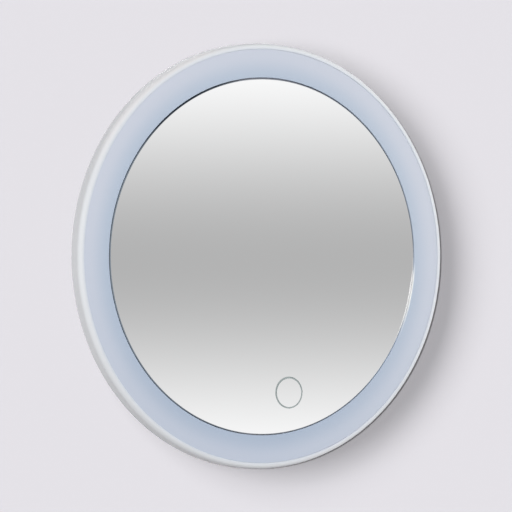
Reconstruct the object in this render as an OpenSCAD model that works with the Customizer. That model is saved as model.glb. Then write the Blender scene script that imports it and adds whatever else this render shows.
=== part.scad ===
// Round wall mirror with a ring light and a touch switch, run by four cells in its back.
// Every piece is drawn lying on its back: x across, y up the mirror, z away from the wall.
// hang() then stands it up, so the wall is the plane y = 0, the glass faces -y and z is up.

/* [Rim] */
// Overall diameter of the mirror
body_d = 250; // [246:1:290]
// Depth of the rim, from its back edge to its front edge
rim_depth = 9.2; // [9:0.1:12]
// Wall of the rim
rim_wall = 2; // [1.7:0.1:2.3]
// Radius of the rounded front lip, which is also its width
lip_r = 3.35; // [3:0.05:4]
// Length of the rear shell's screws below their heads
shell_screw_l = 4.2; // [3.4:0.1:4.4]
// Diameter of the screw bosses inside the rim
frame_boss_d = 5.6; // [5:0.1:6]

/* [Light ring] */
// Width of the lit ring that shows between the lip and the glass
glow_w = 16.15; // [15:0.05:22]
// Thickness of the opal ring
glow_t = 2; // [1.6:0.1:2.4]
// How far the opal ring is sunk below the lip
glow_sink = 0.3; // [0.1:0.1:0.6]
// Thickness of the flange that the lip holds
flange_t = 0.7; // [0.5:0.1:1]
// Width of the circuit ring that carries the lamps
led_board_w = 7; // [6:0.1:8]
// Number of lamps
led_count = 60; // [36:6:72]
// Length of one lamp along the ring
led_l = 3.5; // [2.8:0.1:3.8]
// Width of one lamp
led_w = 2.8; // [2:0.1:3.2]
// Height of one lamp
led_h = 0.8; // [0.6:0.1:1.2]

/* [Glass] */
// Thickness of the glass
glass_t = 3; // [2.5:0.1:3.1]
// Gap round the glass in its recess
glass_gap = 0.7; // [0.6:0.05:1]
// How far the glass was laid off centre, down and to the right
glass_shift = 0.5; // [0:0.05:0.5]
// How far the glass lies below the opal ring
glass_sink = 0.1; // [0:0.05:0.4]
// Thickness of the foam tape under the glass
tape_t = 0.8; // [0.6:0.1:0.9]
// Width of the ring of foam tape
tape_w = 10; // [6:0.5:11]
// Thickness of the carrier plate
carrier_t = 1.6; // [1.4:0.1:1.8]

/* [Touch switch] */
// Diameter of the ring etched in the glass, at the middle of its line
touch_ring_d = 17.8; // [12:0.1:19]
// Width of the etched line
touch_line_w = 0.9; // [0.5:0.1:1.5]
// Depth of the etched line
touch_line_depth = 0.15; // [0.1:0.05:0.3]
// Distance from the edge of the glass to the middle of the ring
touch_inset = 22.7; // [22.5:0.1:25]
// Angle of the ring from straight down, to the right
touch_angle = 13.4; // [0:0.1:15]
// Diameter of the sensor board behind the ring
touch_board_d = 20; // [16:0.5:20.5]

/* [Back] */
// Diameter of the hub that stands against the wall
hub_d = 168; // [164:1:180]
// Distance from the wall to the back edge of the rim
hub_depth = 16.8; // [16.6:0.1:20]
// Wall of the hub
hub_wall = 2; // [1.8:0.1:2.4]
// Thickness of the flat pan behind the light ring
pan_t = 2.2; // [2:0.1:2.3]
// Radius of the rounded back edge of the hub
hub_edge_r = 4; // [3:0.5:4]
// Radius of the fillet between the hub and the pan
hub_root_r = 3; // [2:0.5:5]
// Diameter of the rubber pads set in the back
pad_d = 12; // [8:0.5:13]
// Thickness of the rubber pads
pad_t = 1; // [0.6:0.1:1.2]

/* [Wall screws] */
// Distance between the two keyholes
key_spacing = 90; // [88:1:100]
// Height of the keyhole entries above the middle of the mirror
key_y = 30; // [26:1:32]
// Diameter of a keyhole entry, which lets the head of the wall screw in
key_entry_d = 9; // [8:0.1:10]
// Width of the slot that takes the shank of the wall screw
key_slot_w = 4.6; // [4:0.1:5]
// Rise from the entry to the top of the slot
key_rise = 9; // [8:0.5:10]
// Room behind the keyhole for the head of the wall screw
key_room = 5; // [4.5:0.1:6]

/* [Battery bay] */
// Diameter of one cell
cell_d = 14.2; // [14:0.1:14.4]
// Length of one cell with its nub
cell_l = 50.5; // [50:0.1:51]
// Space between one cell and the next
cell_gap = 0.5; // [0.3:0.1:0.7]
// Space for the spring at one end of each cell
spring_l = 5.8; // [5.6:0.1:6.4]
// Wire of the springs
spring_wire_d = 0.7; // [0.6:0.05:0.8]
// Diameter of the springs at the middle of their wire
spring_d = 5.8; // [5:0.1:7]
// Thickness of the contact plates
contact_t = 0.4; // [0.3:0.05:0.5]
// Distance from the middle of the mirror down to the top of the bay
bay_drop = 10; // [10:0.1:11]
// Thickness of the battery door
door_t = 1.8; // [1.6:0.1:2]
// How far the door laps the walls of the bay
door_lap = 1.8; // [1.6:0.1:2.2]
// Gap round the door
door_gap = 0.3; // [0.3:0.05:0.4]
// Diameter of the hinge pins of the door
hinge_pin_d = 2; // [1.6:0.1:2]
// Running clearance round the hinge pins
pin_clear = 0.05; // [0.03:0.01:0.08]

/* [Hidden] */

// Facets of the large and small round shapes
big_fn = 180;
small_fn = 40;
// Overlap that joins two shapes of one piece, and the length by which a cut runs past a face
bite = 0.2;

// Radii, from the rim inwards
rim_r = body_d / 2;
rim_in_r = rim_r - rim_wall;
lip_in_r = rim_r - lip_r;
recess_r = lip_in_r - glow_w;
glass_r = recess_r - glass_gap;
upstand_w = 1.6;
upstand_r = recess_r + upstand_w;
pan_gap = 0.3;
pan_r = rim_in_r - pan_gap;
hub_r = hub_d / 2;
hub_in_r = hub_r - hub_wall;

// Heights, from the front edge back to the wall
front_z = hub_depth + rim_depth;
glow_front_z = front_z - glow_sink;
glow_back_z = glow_front_z - glow_t;
lip_under_z = glow_back_z + flange_t;
glass_front_z = glow_front_z - glass_sink;
glass_back_z = glass_front_z - glass_t;
carrier_front_z = glass_back_z - tape_t;
carrier_back_z = carrier_front_z - carrier_t;
pan_front_z = hub_depth + pan_t;
// Middle of the shallow space between the pan and the carrier, where the leads run
lead_z = (pan_front_z + carrier_back_z) / 2;

// Screws: shank, head and the clearances round them
screw_d = 2.2;
screw_clear = 0.1;
hole_clear = 0.4;
screw_head_d = 4.4;
screw_head_h = 1.2;
cross_w = 0.6;
cross_l = 2.6;
cross_depth = 0.6;

// Bosses in the rim, which take the screws of the rear shell
frame_screw_count = 6;
frame_screw_turn = 30;
boss_wall_gap = 0.8;
frame_boss_r = rim_in_r - boss_wall_gap - frame_boss_d / 2;
boss_web_w = 2.4;
boss_cap_t = 0.8;

// Circuit ring, midway between the carrier and the bosses
led_board_t = 1;
led_mid_r = (upstand_r + frame_boss_r - frame_boss_d / 2) / 2;
resistor_count = 12;
resistor_size = [1.25, 2, 0.5];

// Bosses on the rear shell, which take the screws of the carrier
carrier_screw_count = 5;
carrier_boss_d = 7;
carrier_boss_inset = 12;
carrier_boss_r = hub_in_r - carrier_boss_inset;
carrier_screw_l = 8;
countersink_h = 1.2;

// Touch sensor
touch_r = glass_r - touch_inset;
touch_place = [touch_r * sin(touch_angle), -touch_r * cos(touch_angle)];
touch_window_gap = 1;
touch_tape_t = 0.4;
touch_board_t = 1;
touch_board_z = glass_back_z - touch_tape_t - touch_board_t;
touch_chip_size = [3, 3, 0.8];
touch_chip_place = touch_place + [4, -2];

// Rubber pads
pad_inset = 16;
pad_angles = [62, 118, 214, 326];

// Battery bay: four cells lie across it, one above the other
cell_rows = 4;
cell_pitch = cell_d + cell_gap;
cell_nub_d = 5.5;
cell_nub_l = 1.5;
cell_play = 0.1;
door_play = 0.6;
cell_z = door_t + door_play + cell_d / 2;
bay_w = cell_l + spring_l + 2 * contact_t;
bay_h = cell_rows * cell_pitch;
bay_top_y = -bay_drop;
bay_bottom_y = bay_top_y - bay_h;
bay_floor_z = cell_z + cell_d / 2 + cell_play;
bay_floor_t = 1.4;
seat_play = 0.1;
seat_rim = 0.8;
door_seat_z = door_t + seat_play;
door_w = bay_w + 2 * door_lap;
door_bottom_y = bay_bottom_y - door_lap;
door_corner_r = 3;
cut_w = door_w + 2 * door_gap;
bay_side_t = door_lap + door_gap + seat_rim;
bay_bottom_t = 4;
bay_top_t = 1.4;

// Hinge of the door, along its top edge
hinge_rise = 1.4;
hinge_y = bay_top_y + hinge_rise;
hinge_z = 1.6;
barrel_r = 1.5;
channel_r = 2;
pin_l = 2;
cheek_w = 4.5;
cheek_h = 6;
cheek_z = 4.5;

// Snap tongue of the door
tongue_w = 10;
tongue_t = 1.2;
tongue_z = 6.5;
tongue_inset = 0.2;
bead_r = 0.4;
bead_z = 4.5;
tongue_gap = 0.7;

// Grip grooves and finger scoop of the door
groove_count = 5;
groove_pitch = 2.6;
groove_w = 20;
groove_r = 1.2;
groove_depth = 0.4;
groove_y = 5;
scoop_r = 12;
scoop_depth = 1.4;

// Springs and contact plates
spring_turns = 3.25;
spring_rings = 8;
spring_sides = 6;
contact_h = 12;
contact_z = 3.4;
contact_margin = 2;
tab_w = 3;
tab_t = 0.4;
tab_l = 2.4;
tab_z = 12;
tab_slot_gap = 0.2;

// Keyhole pockets
pocket_wall = 1.4;
pocket_side = 1.6;

// Control board and what stands on it
board_size = [52, 30, 1.2];
board_place = [0, 30];
board_z = 8;
board_front_z = board_z + board_size[2];
post_d = 5;
post_inset = 3;
post_hole_l = 5;
board_screw_l = 5.2;
chip_size = [10, 6, 1.6];
chip_place = board_place + [1, 3];
coil_d = 7.4;
coil_core_d = 4.6;
coil_h = 4.6;
coil_flange_h = 1;
coil_inset = 12;
coil_rise = 6;
coil_place = board_place + [board_size[0] / 2 - coil_inset, coil_rise];
capacitor_d = 6.3;
capacitor_h = 7.7;
capacitor_inset = 13;
capacitor_rises = [8, -1];
capacitor_places = [for (rise = capacitor_rises)
    board_place + [capacitor_inset - board_size[0] / 2, rise]];
socket_size = [6, 5, 5.5];
socket_mouth = [4.4, 2.6, 2.4];
socket_edge = 1;
socket_inset = 10;
battery_socket_x = board_size[0] / 2 - socket_inset;
touch_socket_x = -battery_socket_x;
led_socket_x = 8;

// Leads
lead_d = 0.9;
lead_sides = 8;
lead_spread = 0.8;
lead_notch_w = 4;
lead_steps = 2;
lead_stub = 1.1;
// A direction that no stretch of a lead runs along, from which its sides are laid out
lead_aside = [0.31, 0.17, 0.93];

// Points that the leads pass through: those of the lamps' leads as distances up the mirror and
// heights, and those of the touch lead's foot from the middle of the etched ring
upper_battery_route = [
    [36.5, -14, 12], [36.5, -6, 12], [34, 0, 12], [27, 4, 12], [20, 7, 12]
];
lower_battery_route = [
    [36.4, -57, 10], [36, -48, 9], [36, -36, 9], [36, -24, 9], [36, -12, 9], [34, -3, 9],
    [26, 2, 9.5], [18, 5, 11]
];
led_route = [[50, 12.5], [56, 15.5], [63, 18.4]];
led_route_flat = [72, 84, 96];
touch_foot = [-3, 3];
touch_bend = [-4, 9];
touch_route = [
    [12, -52, 19.2], [9, -38, 19.2], [4, -24, 19.2], [-4, -12, 19.2], [-11, -3, 18.9], [-15, 2, 16]
];
touch_route_flat = [14, -64];

// Stands the mirror up against the wall
module hang() rotate([90, 0, 0]) children();

// Repeats a shape at equal angles, at radius r
module ring_of(count, r, turn) {
    for (i = [0 : count - 1])
        rotate(turn + i * 360 / count) translate([r, 0, 0]) children();
}

// A bar of width w from x = 0 to x = l, on the plane z = 0
module bar(l, w, h) translate([0, -w / 2, 0]) cube([l, w, h]);

// A block that is centred in x and y and stands on the plane z = 0
module block(size) translate([-size[0] / 2, -size[1] / 2, 0]) cube(size);

// Outline of a plate with round lower corners
module plate_outline(w, bottom, top, r) {
    translate([-w / 2, bottom + r]) square([w, top - bottom - r]);
    translate([-w / 2 + r, bottom]) square([w - 2 * r, r + bite]);
    for (side = [-1, 1])
        translate([side * (w / 2 - r), bottom + r]) circle(r, $fn = small_fn);
}

// Cross recess, cut down from the plane z = 0
module cross_recess() {
    for (turn = [0, 90])
        rotate(turn) translate([0, 0, -cross_depth]) block([cross_l, cross_w, cross_depth + bite]);
}

// Pan-head screw: its head stands on the plane z = 0 and its shank points down
module pan_screw(l) {
    difference() {
        cylinder(h = screw_head_h, d = screw_head_d, $fn = small_fn);
        translate([0, 0, screw_head_h]) cross_recess();
    }
    translate([0, 0, -l]) cylinder(h = l + bite, d = screw_d, $fn = small_fn);
}

// Countersunk screw: the top of its head is the plane z = 0 and its shank points down
module flat_screw(l) {
    difference() {
        translate([0, 0, -countersink_h])
            cylinder(h = countersink_h, d1 = screw_d, d2 = screw_head_d, $fn = small_fn);
        cross_recess();
    }
    translate([0, 0, -l]) cylinder(h = l - cross_depth - bite, d = screw_d, $fn = small_fn);
}

// The rim: side wall and rounded lip in one moulding, with bosses for the rear shell
module front_frame() {
    color("whitesmoke") hang() difference() {
        union() {
            rotate_extrude($fn = big_fn) frame_section();
            ring_of(frame_screw_count, frame_boss_r, frame_screw_turn) {
                translate([0, 0, pan_front_z])
                    cylinder(h = glow_back_z - pan_front_z, d = frame_boss_d, $fn = small_fn);
                translate([0, 0, pan_front_z])
                    bar(rim_in_r - frame_boss_r + bite, boss_web_w, glow_back_z - pan_front_z);
            }
        }
        ring_of(frame_screw_count, frame_boss_r, frame_screw_turn)
            translate([0, 0, pan_front_z - bite])
                cylinder(h = glow_back_z - boss_cap_t - pan_front_z + bite, d = screw_d + screw_clear,
                    $fn = small_fn);
    }
}

module frame_section() {
    difference() {
        union() {
            translate([rim_in_r, hub_depth]) square([rim_wall, rim_depth - lip_r]);
            intersection() {
                translate([lip_in_r, front_z - lip_r]) circle(lip_r, $fn = big_fn);
                translate([lip_in_r, front_z - lip_r]) square(lip_r);
            }
        }
        translate([lip_in_r - bite, front_z - lip_r - bite])
            square([rim_in_r - lip_in_r + bite, lip_under_z - front_z + lip_r + bite]);
    }
}

// Opal ring: its flange is trapped between the lip and the bosses
module diffuser_ring() {
    glow_play = 0.15;
    color("lightsteelblue") hang() rotate_extrude($fn = big_fn) {
        translate([recess_r, glow_back_z])
            square([lip_in_r - glow_play - recess_r, glow_t]);
        translate([recess_r, glow_back_z])
            square([rim_in_r - glow_play - recess_r, flange_t]);
    }
}

// Silvered glass with the ring of the touch switch etched in its face
module mirror_glass() {
    shift = glass_shift * sin(45);
    color("gainsboro") hang() difference() {
        translate([shift, -shift, glass_back_z]) cylinder(h = glass_t, r = glass_r, $fn = big_fn);
        translate([touch_place[0], touch_place[1], glass_front_z - touch_line_depth]) difference() {
            cylinder(h = touch_line_depth + bite, d = touch_ring_d + touch_line_w, $fn = small_fn);
            translate([0, 0, -bite])
                cylinder(h = touch_line_depth + 3 * bite, d = touch_ring_d - touch_line_w,
                    $fn = small_fn);
        }
    }
}

// Ring of black foam tape that holds the glass
module mirror_tape() {
    tape_play = 0.2;
    tape_r = recess_r - tape_play;
    color("#1d2230") hang() translate([0, 0, carrier_front_z]) difference() {
        cylinder(h = tape_t, r = tape_r, $fn = big_fn);
        translate([0, 0, -bite]) cylinder(h = tape_t + 2 * bite, r = tape_r - tape_w, $fn = big_fn);
    }
}

// Plate that carries the glass, with an upstand that carries the opal ring and walls off the light
module mirror_carrier() {
    color("white") hang() difference() {
        union() {
            translate([0, 0, carrier_back_z])
                cylinder(h = carrier_t, r = recess_r + bite, $fn = big_fn);
            translate([0, 0, pan_front_z]) difference() {
                cylinder(h = glow_back_z - pan_front_z, r = upstand_r, $fn = big_fn);
                translate([0, 0, -bite])
                    cylinder(h = glow_back_z - pan_front_z + 2 * bite, r = recess_r, $fn = big_fn);
            }
        }
        translate([touch_place[0], touch_place[1], carrier_back_z - bite])
            cylinder(h = carrier_t + 2 * bite, d = touch_board_d + 2 * touch_window_gap,
                $fn = small_fn);
        translate([0, 0, carrier_front_z]) carrier_screw_places() {
            translate([0, 0, -countersink_h])
                cylinder(h = countersink_h, d1 = screw_d + screw_clear,
                    d2 = screw_head_d + screw_clear, $fn = small_fn);
            translate([0, 0, -carrier_t - bite])
                cylinder(h = carrier_t, d = screw_d + screw_clear, $fn = small_fn);
        }
        translate([led_socket_x, recess_r, pan_front_z - bite])
            block([lead_notch_w, 2 * upstand_w + 2 * bite, carrier_back_z - pan_front_z + bite]);
    }
}

module carrier_screw_places() ring_of(carrier_screw_count, carrier_boss_r, 90) children();

module carrier_screws() {
    color("silver") hang() translate([0, 0, carrier_front_z])
        carrier_screw_places() flat_screw(carrier_screw_l);
}

// Circuit ring, stuck to the pan, with its lamps facing the opal ring
module led_board() {
    color("white") hang() translate([0, 0, pan_front_z]) difference() {
        cylinder(h = led_board_t, r = led_mid_r + led_board_w / 2, $fn = big_fn);
        translate([0, 0, -bite])
            cylinder(h = led_board_t + 2 * bite, r = led_mid_r - led_board_w / 2, $fn = big_fn);
    }
}

module leds() {
    color("khaki") hang() translate([0, 0, pan_front_z + led_board_t])
        ring_of(led_count, led_mid_r, 0) block([led_w, led_l, led_h]);
}

// Resistors, between two lamps each
module led_resistors() {
    color("dimgray") hang() translate([0, 0, pan_front_z + led_board_t])
        ring_of(resistor_count, led_mid_r, 180 / led_count) block(resistor_size);
}

// Back moulding: pan, hub, battery bay, keyhole pockets, bosses and posts
module rear_shell() {
    color("white") hang() difference() {
        union() {
            difference() {
                rotate_extrude($fn = big_fn) shell_section();
                translate([0, 0, hub_wall])
                    cylinder(h = pan_front_z, r = hub_in_r, $fn = big_fn);
            }
            bay_block();
            key_places() pocket_block();
            translate([0, 0, hub_wall - bite]) carrier_screw_places()
                cylinder(h = carrier_back_z - hub_wall + bite, d = carrier_boss_d, $fn = small_fn);
            translate([0, 0, hub_wall - bite]) post_places()
                cylinder(h = board_z - hub_wall + bite, d = post_d, $fn = small_fn);
        }
        bay_hollow();
        key_places() keyhole_cut();
        translate([0, 0, carrier_back_z - carrier_screw_l]) carrier_screw_places()
            cylinder(h = carrier_screw_l + bite, d = screw_d + screw_clear, $fn = small_fn);
        translate([0, 0, board_z - post_hole_l]) post_places()
            cylinder(h = post_hole_l + bite, d = screw_d + screw_clear, $fn = small_fn);
        ring_of(frame_screw_count, frame_boss_r, frame_screw_turn) {
            translate([0, 0, hub_depth - bite])
                cylinder(h = screw_head_h + bite, d = screw_head_d + hole_clear,
                    $fn = small_fn);
            translate([0, 0, hub_depth])
                cylinder(h = pan_t + bite, d = screw_d + hole_clear, $fn = small_fn);
        }
        pad_places() translate([0, 0, -bite])
            cylinder(h = pad_t + bite, d = pad_d + 2 * screw_clear, $fn = small_fn);
    }
}

// Half section of the pan and the hub, filled
module shell_section() {
    translate([0, hub_depth]) square([pan_r, pan_t]);
    translate([0, hub_edge_r]) square([hub_r, pan_front_z - hub_edge_r]);
    square([hub_r - hub_edge_r, pan_front_z]);
    translate([hub_r - hub_edge_r, hub_edge_r]) circle(hub_edge_r, $fn = small_fn);
    difference() {
        translate([hub_r - bite, hub_depth - hub_root_r])
            square([hub_root_r + bite, hub_root_r + bite]);
        translate([hub_r + hub_root_r, hub_depth - hub_root_r])
            circle(hub_root_r, $fn = small_fn);
    }
}

// Walls and floor of the bay, and the two cheeks that hold the pins of the door
module bay_block() {
    top = hinge_y + channel_r + bay_top_t;
    bottom = bay_bottom_y - bay_bottom_t;
    block_w = bay_w + 2 * bay_side_t;
    translate([-block_w / 2, bottom, bite])
        cube([block_w, top - bottom, bay_floor_z + bay_floor_t - bite]);
    for (side = [-1, 1])
        translate([side * (cut_w / 2 + cheek_w / 2), hinge_y, bite])
            block([cheek_w, cheek_h, cheek_z]);
}

module bay_hollow() {
    translate([-bay_w / 2, bay_bottom_y, -bite]) cube([bay_w, bay_h, bay_floor_z + bite]);
    // Seat of the door, the channel of its hinge and the sockets of its pins
    translate([0, 0, -bite]) linear_extrude(door_seat_z + bite)
        plate_outline(cut_w, door_bottom_y - door_gap, hinge_y + channel_r,
            door_corner_r + door_gap);
    translate([0, hinge_y, hinge_z]) rotate([0, 90, 0]) {
        cylinder(h = cut_w, r = channel_r, center = true, $fn = small_fn);
        cylinder(h = door_w + 2 * pin_l + 4 * door_gap, d = hinge_pin_d + 2 * pin_clear,
            center = true, $fn = small_fn);
    }
    // Slot of the snap tongue
    translate([-tongue_w / 2 - door_gap, door_bottom_y + tongue_inset - tongue_gap, 0])
        cube([tongue_w + 2 * door_gap, door_lap + tongue_gap, tongue_z + door_gap]);
    // Finger scoop below the door
    translate([0, door_bottom_y - door_gap, scoop_depth - scoop_r])
        sphere(scoop_r, $fn = big_fn);
    // Slots for the solder tabs of the end contacts
    for (row = [0, cell_rows - 1])
        translate([bay_w / 2 - bite, row_y(row) - tab_w / 2 - tab_slot_gap, tab_z - tab_slot_gap])
            cube([bay_side_t + 2 * bite, tab_w + 2 * tab_slot_gap, tab_t + 2 * tab_slot_gap]);
}

function row_y(row) = bay_top_y - (row + 0.5) * cell_pitch;

module key_places() {
    for (side = [-1, 1]) translate([side * key_spacing / 2, key_y, 0]) children();
}

// Closed box behind a keyhole, which keeps the wall screw away from the wiring
module pocket_block() {
    w = key_entry_d + 2 * (pocket_side + pocket_wall);
    translate([-w / 2, -w / 2, hub_wall - bite])
        cube([w, w + key_rise, key_room + pocket_wall + bite]);
}

module keyhole_cut() {
    w = key_entry_d + 2 * pocket_side;
    translate([0, 0, -bite]) {
        cylinder(h = hub_wall + 2 * bite, d = key_entry_d, $fn = small_fn);
        translate([0, key_rise, 0]) cylinder(h = hub_wall + 2 * bite, d = key_slot_w, $fn = small_fn);
        translate([-key_slot_w / 2, 0, 0]) cube([key_slot_w, key_rise, hub_wall + 2 * bite]);
    }
    translate([-w / 2, -w / 2, hub_wall]) cube([w, w + key_rise, key_room]);
}

module post_places() {
    for (x = [-1, 1], y = [-1, 1])
        translate([board_place[0] + x * (board_size[0] / 2 - post_inset),
            board_place[1] + y * (board_size[1] / 2 - post_inset), 0]) children();
}

module pad_places() {
    for (angle = pad_angles) rotate(angle) translate([hub_r - pad_inset, 0, 0]) children();
}

module shell_screws() {
    color("silver") hang() ring_of(frame_screw_count, frame_boss_r, frame_screw_turn)
        translate([0, 0, hub_depth + screw_head_h]) mirror([0, 0, 1]) pan_screw(shell_screw_l);
}

module wall_pads() {
    color("dimgray") hang() pad_places() cylinder(h = pad_t, d = pad_d, $fn = small_fn);
}

// Door of the bay: it swings back on two moulded pins and snaps shut at its lower edge
module battery_door() {
    color("white") hang() difference() {
        union() {
            linear_extrude(door_t) plate_outline(door_w, door_bottom_y, hinge_y, door_corner_r);
            translate([0, hinge_y, hinge_z]) rotate([0, 90, 0]) {
                cylinder(h = door_w, r = barrel_r, center = true, $fn = small_fn);
                cylinder(h = door_w + 2 * pin_l, d = hinge_pin_d, center = true, $fn = small_fn);
            }
            translate([-tongue_w / 2, door_bottom_y + tongue_inset, door_t - bite])
                cube([tongue_w, tongue_t, tongue_z - door_t + bite]);
            translate([0, door_bottom_y + tongue_inset, bead_z]) rotate([0, 90, 0])
                cylinder(h = tongue_w, r = bead_r, center = true, $fn = small_fn);
        }
        for (i = [0 : groove_count - 1])
            translate([0, door_bottom_y + groove_y + i * groove_pitch, groove_depth - groove_r])
                rotate([0, 90, 0])
                    cylinder(h = groove_w, r = groove_r, center = true, $fn = small_fn);
    }
}

// One cell; every second one is turned end for end
module battery_cell(row) {
    way = row % 2 == 0 ? 1 : -1;
    tip = bay_w / 2 - contact_t;
    color("steelblue") hang() translate([0, row_y(row), cell_z]) rotate([0, 90 * way, 0]) {
        translate([0, 0, tip - cell_l])
            cylinder(h = cell_l - cell_nub_l, d = cell_d, $fn = small_fn);
        translate([0, 0, tip - cell_nub_l - bite])
            cylinder(h = cell_nub_l + bite, d = cell_nub_d, $fn = small_fn);
    }
}

// Unbroken tube along points, with a vector square to the path at each point
module tube(points, squares, d, sides) {
    last = len(points) - 1;
    rings = [for (i = [0 : last])
        let (ahead = points[min(i + 1, last)] - points[max(i - 1, 0)],
            along = ahead / norm(ahead),
            out = squares[i] - along * (squares[i] * along),
            e1 = out / norm(out),
            e2 = cross(along, e1))
        [for (k = [0 : sides - 1])
            points[i] + d / 2 * (cos(k * 360 / sides) * e1 + sin(k * 360 / sides) * e2)]];
    sleeve = [for (i = [0 : last - 1], k = [0 : sides - 1])
        let (a = i * sides + k, b = i * sides + (k + 1) % sides)
        each [[a, a + sides, b + sides], [a, b + sides, b]]];
    caps = [for (k = [1 : sides - 2])
        each [[0, k, k + 1], [last * sides, last * sides + k + 1, last * sides + k]]];
    polyhedron([for (ring = rings) each ring], concat(sleeve, caps));
}

// Path of one spring along z: straight ends, and a helix between them
spring_steps = ceil(spring_turns * spring_rings);
function spring_angle(i) = i * 360 * spring_turns / spring_steps;
function spring_out(i) = [cos(spring_angle(i)), sin(spring_angle(i)), 0];
function spring_point(i) = spring_d / 2 * spring_out(i)
    + [0, 0, spring_wire_d + (spring_l - 2 * spring_wire_d) * i / spring_steps];
spring_path = concat([spring_d / 2 * spring_out(0)],
    [for (i = [0 : spring_steps]) spring_point(i)],
    [spring_d / 2 * spring_out(spring_steps) + [0, 0, spring_l]]);
spring_squares = concat([spring_out(0)], [for (i = [0 : spring_steps]) spring_out(i)],
    [spring_out(spring_steps)]);
spring_gap = min([for (i = [0 : spring_steps - spring_rings / 2 - 1],
    j = [i + spring_rings / 2 + 1 : spring_steps])
    norm(spring_point(j) - spring_point(i)) - spring_wire_d]);
echo(least_gap_of_a_spring_to_itself = spring_gap);

module battery_springs() {
    foot = bay_w / 2 - contact_t;
    color("silver") hang() for (row = [0 : cell_rows - 1])
        translate([0, row_y(row), cell_z]) rotate([0, row % 2 == 0 ? 90 : -90, 0])
            translate([0, 0, -foot]) tube(spring_path, spring_squares, spring_wire_d, spring_sides);
}

// Contact plates: two bridges on the left, one bridge and the two end contacts on the right
module contact_plates() {
    color("silver") hang() {
        for (row = [0, 2]) contact_plate(-1, row, row + 1);
        contact_plate(1, 1, 2);
        for (row = [0, cell_rows - 1]) {
            contact_plate(1, row, row);
            translate([bay_w / 2 - contact_t, row_y(row) - tab_w / 2, tab_z])
                cube([contact_t + bay_side_t + tab_l, tab_w, tab_t]);
        }
    }
}

module contact_plate(side, first, last) {
    y0 = row_y(last) - cell_pitch / 2 + contact_margin / 2;
    y1 = row_y(first) + cell_pitch / 2 - contact_margin / 2;
    x0 = side > 0 ? bay_w / 2 - contact_t : -bay_w / 2;
    translate([x0, y0, contact_z]) cube([contact_t, y1 - y0, contact_h]);
}

module control_board() {
    color("seagreen") hang() difference() {
        translate([board_place[0], board_place[1], board_z]) block(board_size);
        translate([0, 0, board_z - bite]) post_places()
            cylinder(h = board_size[2] + 2 * bite, d = screw_d + hole_clear, $fn = small_fn);
    }
}

// Chip with eight legs on each side
module control_chip() {
    leg = [0.4, 1, 0.3];
    leg_count = 8;
    leg_pitch = 1.2;
    color("#222222") hang() translate([chip_place[0], chip_place[1], board_front_z]) {
        block(chip_size);
        for (i = [0 : leg_count - 1], side = [-1, 1])
            translate([(i - (leg_count - 1) / 2) * leg_pitch,
                side * (chip_size[1] / 2 + leg[1] / 2 - bite), 0]) block(leg);
    }
}

module power_coil() {
    color("sienna") hang() translate([coil_place[0], coil_place[1], board_front_z]) {
        cylinder(h = coil_flange_h, d = coil_d, $fn = small_fn);
        cylinder(h = coil_h, d = coil_core_d, $fn = small_fn);
        translate([0, 0, coil_h - coil_flange_h])
            cylinder(h = coil_flange_h, d = coil_d, $fn = small_fn);
    }
}

module capacitors() {
    color("lightgray") hang() for (place = capacitor_places)
        translate([place[0], place[1], board_front_z])
            cylinder(h = capacitor_h, d = capacitor_d, $fn = small_fn);
}

// Two sockets at the lower edge of the board and one at its upper edge
module wire_sockets() {
    color("ivory") hang() {
        for (x = [battery_socket_x, touch_socket_x]) wire_socket(x, -1);
        wire_socket(led_socket_x, 1);
    }
}

module wire_socket(x, way) {
    y = board_place[1] + way * (board_size[1] / 2 - socket_edge - socket_size[1] / 2);
    mouth = [socket_mouth[0], socket_mouth[1] + bite, socket_mouth[2]];
    translate([x, y, board_front_z]) difference() {
        block(socket_size);
        translate([0, way * (socket_size[1] - socket_mouth[1] + bite) / 2,
            (socket_size[2] - socket_mouth[2]) / 2]) block(mouth);
    }
}

function socket_floor_y(way) = board_place[1]
    + way * (board_size[1] / 2 - socket_edge - socket_mouth[1]);
socket_z = board_front_z + socket_size[2] / 2;

module board_screws() {
    color("silver") hang() translate([0, 0, board_front_z])
        post_places() pan_screw(board_screw_l);
}

// Sensor board behind the etched ring
module touch_board() {
    color("seagreen") hang() translate([touch_place[0], touch_place[1], touch_board_z])
        cylinder(h = touch_board_t, d = touch_board_d, $fn = small_fn);
}

module touch_chip() {
    color("#222222") hang()
        translate([touch_chip_place[0], touch_chip_place[1], touch_board_z - touch_chip_size[2]])
            block(touch_chip_size);
}

module touch_tape() {
    color("beige") hang()
        translate([touch_place[0], touch_place[1], touch_board_z + touch_board_t])
            cylinder(h = touch_tape_t, d = touch_board_d, $fn = small_fn);
}

// Smooth path through a few points, with lead_steps rings for each stretch
function smooth(points) = let (last = len(points) - 1)
    concat([for (i = [0 : last - 1], k = [0 : lead_steps - 1])
        let (t = k / lead_steps, a = points[max(i - 1, 0)], b = points[i], c = points[i + 1],
            d = points[min(i + 2, last)])
        0.5 * (2 * b + (c - a) * t + (2 * a - 5 * b + 4 * c - d) * t * t
            + (3 * b - a - 3 * c + d) * t * t * t)],
        [points[last]]);

// Wire between two faces: it leaves each one square to it, along out and back
module lead(start, out, points, back, end) {
    path = concat([start],
        smooth(concat([start + lead_stub * out], points, [end + lead_stub * back])), [end]);
    tube(path, [for (p = path) lead_aside], lead_d, lead_sides);
}

// Two wires from the end contacts of the bay to their socket
module battery_leads() {
    tab_x = bay_w / 2 + bay_side_t + tab_l;
    y1 = socket_floor_y(-1);
    color("firebrick") hang() {
        lead([tab_x, row_y(0), tab_z + tab_t / 2], [1, 0, 0], upper_battery_route,
            [0, -1, 0], [battery_socket_x + lead_spread, y1, socket_z]);
        lead([tab_x, row_y(cell_rows - 1), tab_z + tab_t / 2], [1, 0, 0], lower_battery_route,
            [0, -1, 0], [battery_socket_x - lead_spread, y1, socket_z]);
    }
}

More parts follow.
